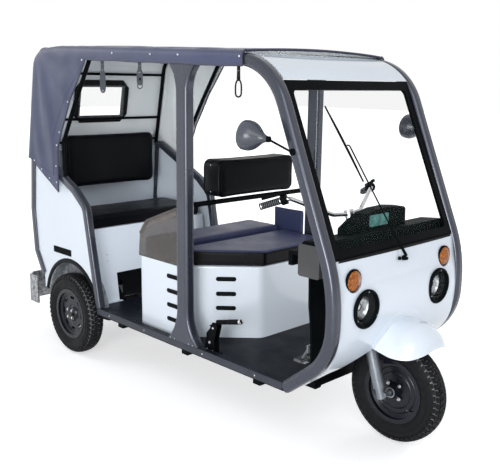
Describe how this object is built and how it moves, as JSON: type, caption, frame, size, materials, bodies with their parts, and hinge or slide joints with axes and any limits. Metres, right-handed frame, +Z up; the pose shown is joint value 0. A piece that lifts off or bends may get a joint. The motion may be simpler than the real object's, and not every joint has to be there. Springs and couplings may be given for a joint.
{
  "type": "auto rickshaw",
  "caption": "Three-wheeled electric passenger rickshaw with an open tube-framed cab, canvas hood, rear bench and a handlebar-steered front wheel.",
  "frame": {"origin": "on the ground under the centre of the footprint, on the centre plane between the rear wheels", "axes": "+X to the front wheel, +Y to the vehicle's left, +Z up"},
  "size_m": [3.045, 1.412, 1.9987],
  "materials": {
    "chassis_black": "satin black chassis paint",
    "floor_grey": "ribbed charcoal floor covering",
    "hoop_grey": "slate grey metallic paint",
    "trim_black": "grained black moulding",
    "trim_grey": "grained grey moulding",
    "screen_frame_black": "black paint with a rubber seal",
    "clear_glass": "clear flat glass",
    "white_panel": "gloss white gelcoat",
    "lamp_body": "bright reflector in a black bezel",
    "lamp_lens": "clear moulded lens",
    "amber_lens": "amber lens in a dark rim",
    "red_lens": "red lens",
    "blank_plate": "blank pressed plate",
    "hood_vinyl": "blue grey coated fabric",
    "bow_black": "black powder coat",
    "soft_pane": "clear flexible film",
    "battery_case": "black battery cases",
    "blue_grey_vinyl": "blue grey vinyl upholstery",
    "black_vinyl": "black vinyl upholstery",
    "smoked_plastic": "smoked brown grey plastic",
    "bare_aluminium": "cast aluminium",
    "bright_steel": "plated steel with black controls",
    "webbing": "woven strap",
    "gloss_black": "gloss black moulding",
    "axle_black": "painted casting",
    "motor_grey": "grey motor case",
    "spring_steel": "painted spring leaves",
    "scuffed_steel": "scuffed bright steel",
    "tyre_rubber": "block tread tyre",
    "rim_steel": "dark painted pressed steel"
  },
  "bodies": {
    "chassis": {"chassis_frame": "chassis_black", "floor_pan": "floor_grey", "front_hoops": "hoop_grey", "b_pillars": "hoop_grey", "rear_hoops": "hoop_grey", "steering_head": "chassis_black", "inner_shield": "trim_black", "dashboard": "trim_black", "windscreen_frame": "screen_frame_black", "windscreen_glass": "clear_glass", "front_fascia": "white_panel", "front_fender": "white_panel", "front_roof_cap": "white_panel", "headlamps": "lamp_body", "headlamp_lenses": "lamp_lens", "indicators": "amber_lens", "wiper": "trim_black", "side_panels": "white_panel", "wheel_houses": "white_panel", "rear_panel": "white_panel", "tail_lamps": "red_lens", "number_plate": "blank_plate", "canopy": "hood_vinyl", "canopy_frame": "bow_black", "rear_window_border": "trim_black", "rear_window_pane": "soft_pane", "seat_box": "white_panel", "battery_pack": "battery_case", "driver_cushion": "blue_grey_vinyl", "rear_facing_cushion": "blue_grey_vinyl", "driver_backrest": "black_vinyl", "backrest_frame": "bow_black", "smoked_guard": "smoked_plastic", "vinyl_guard": "blue_grey_vinyl", "bench_base": "white_panel", "passenger_cushion": "black_vinyl", "passenger_backrest": "black_vinyl", "storage_box": "trim_grey", "brake_pedal": "bare_aluminium", "parking_brake": "bright_steel", "grab_straps": "webbing", "mirrors": "gloss_black", "rear_axle": "axle_black", "drive_motor": "motor_grey", "leaf_springs": "spring_steel", "rear_bumpers": "scuffed_steel"},
    "steering": {"front_fork": "chassis_black", "handlebar": "bright_steel", "handlebar_controls": "trim_black"},
    "front_wheel": {"front_tyre": "tyre_rubber", "front_rim": "rim_steel"},
    "rear_right_wheel": {"rear_right_tyre": "tyre_rubber", "rear_right_rim": "rim_steel"},
    "rear_left_wheel": {"rear_left_tyre": "tyre_rubber", "rear_left_rim": "rim_steel"}
  },
  "joints": [
    {"name": "steering", "type": "hinge", "parent": "chassis", "child": "steering", "pos_m": [1.1855, 0, 0.265], "axis": [-0.309, 0, 0.9511], "range_deg": [-38, 38]},
    {"name": "front_wheel_spin", "type": "hinge", "parent": "steering", "child": "front_wheel", "pos_m": [1.2575, 0, 0.265], "axis": [0, 1, 0], "continuous": true},
    {"name": "rear_right_spin", "type": "hinge", "parent": "chassis", "child": "rear_right_wheel", "pos_m": [-0.9225, -0.523, 0.265], "axis": [0, 1, 0], "continuous": true},
    {"name": "rear_left_spin", "type": "hinge", "parent": "chassis", "child": "rear_left_wheel", "pos_m": [-0.9225, 0.523, 0.265], "axis": [0, 1, 0], "continuous": true}
  ]
}
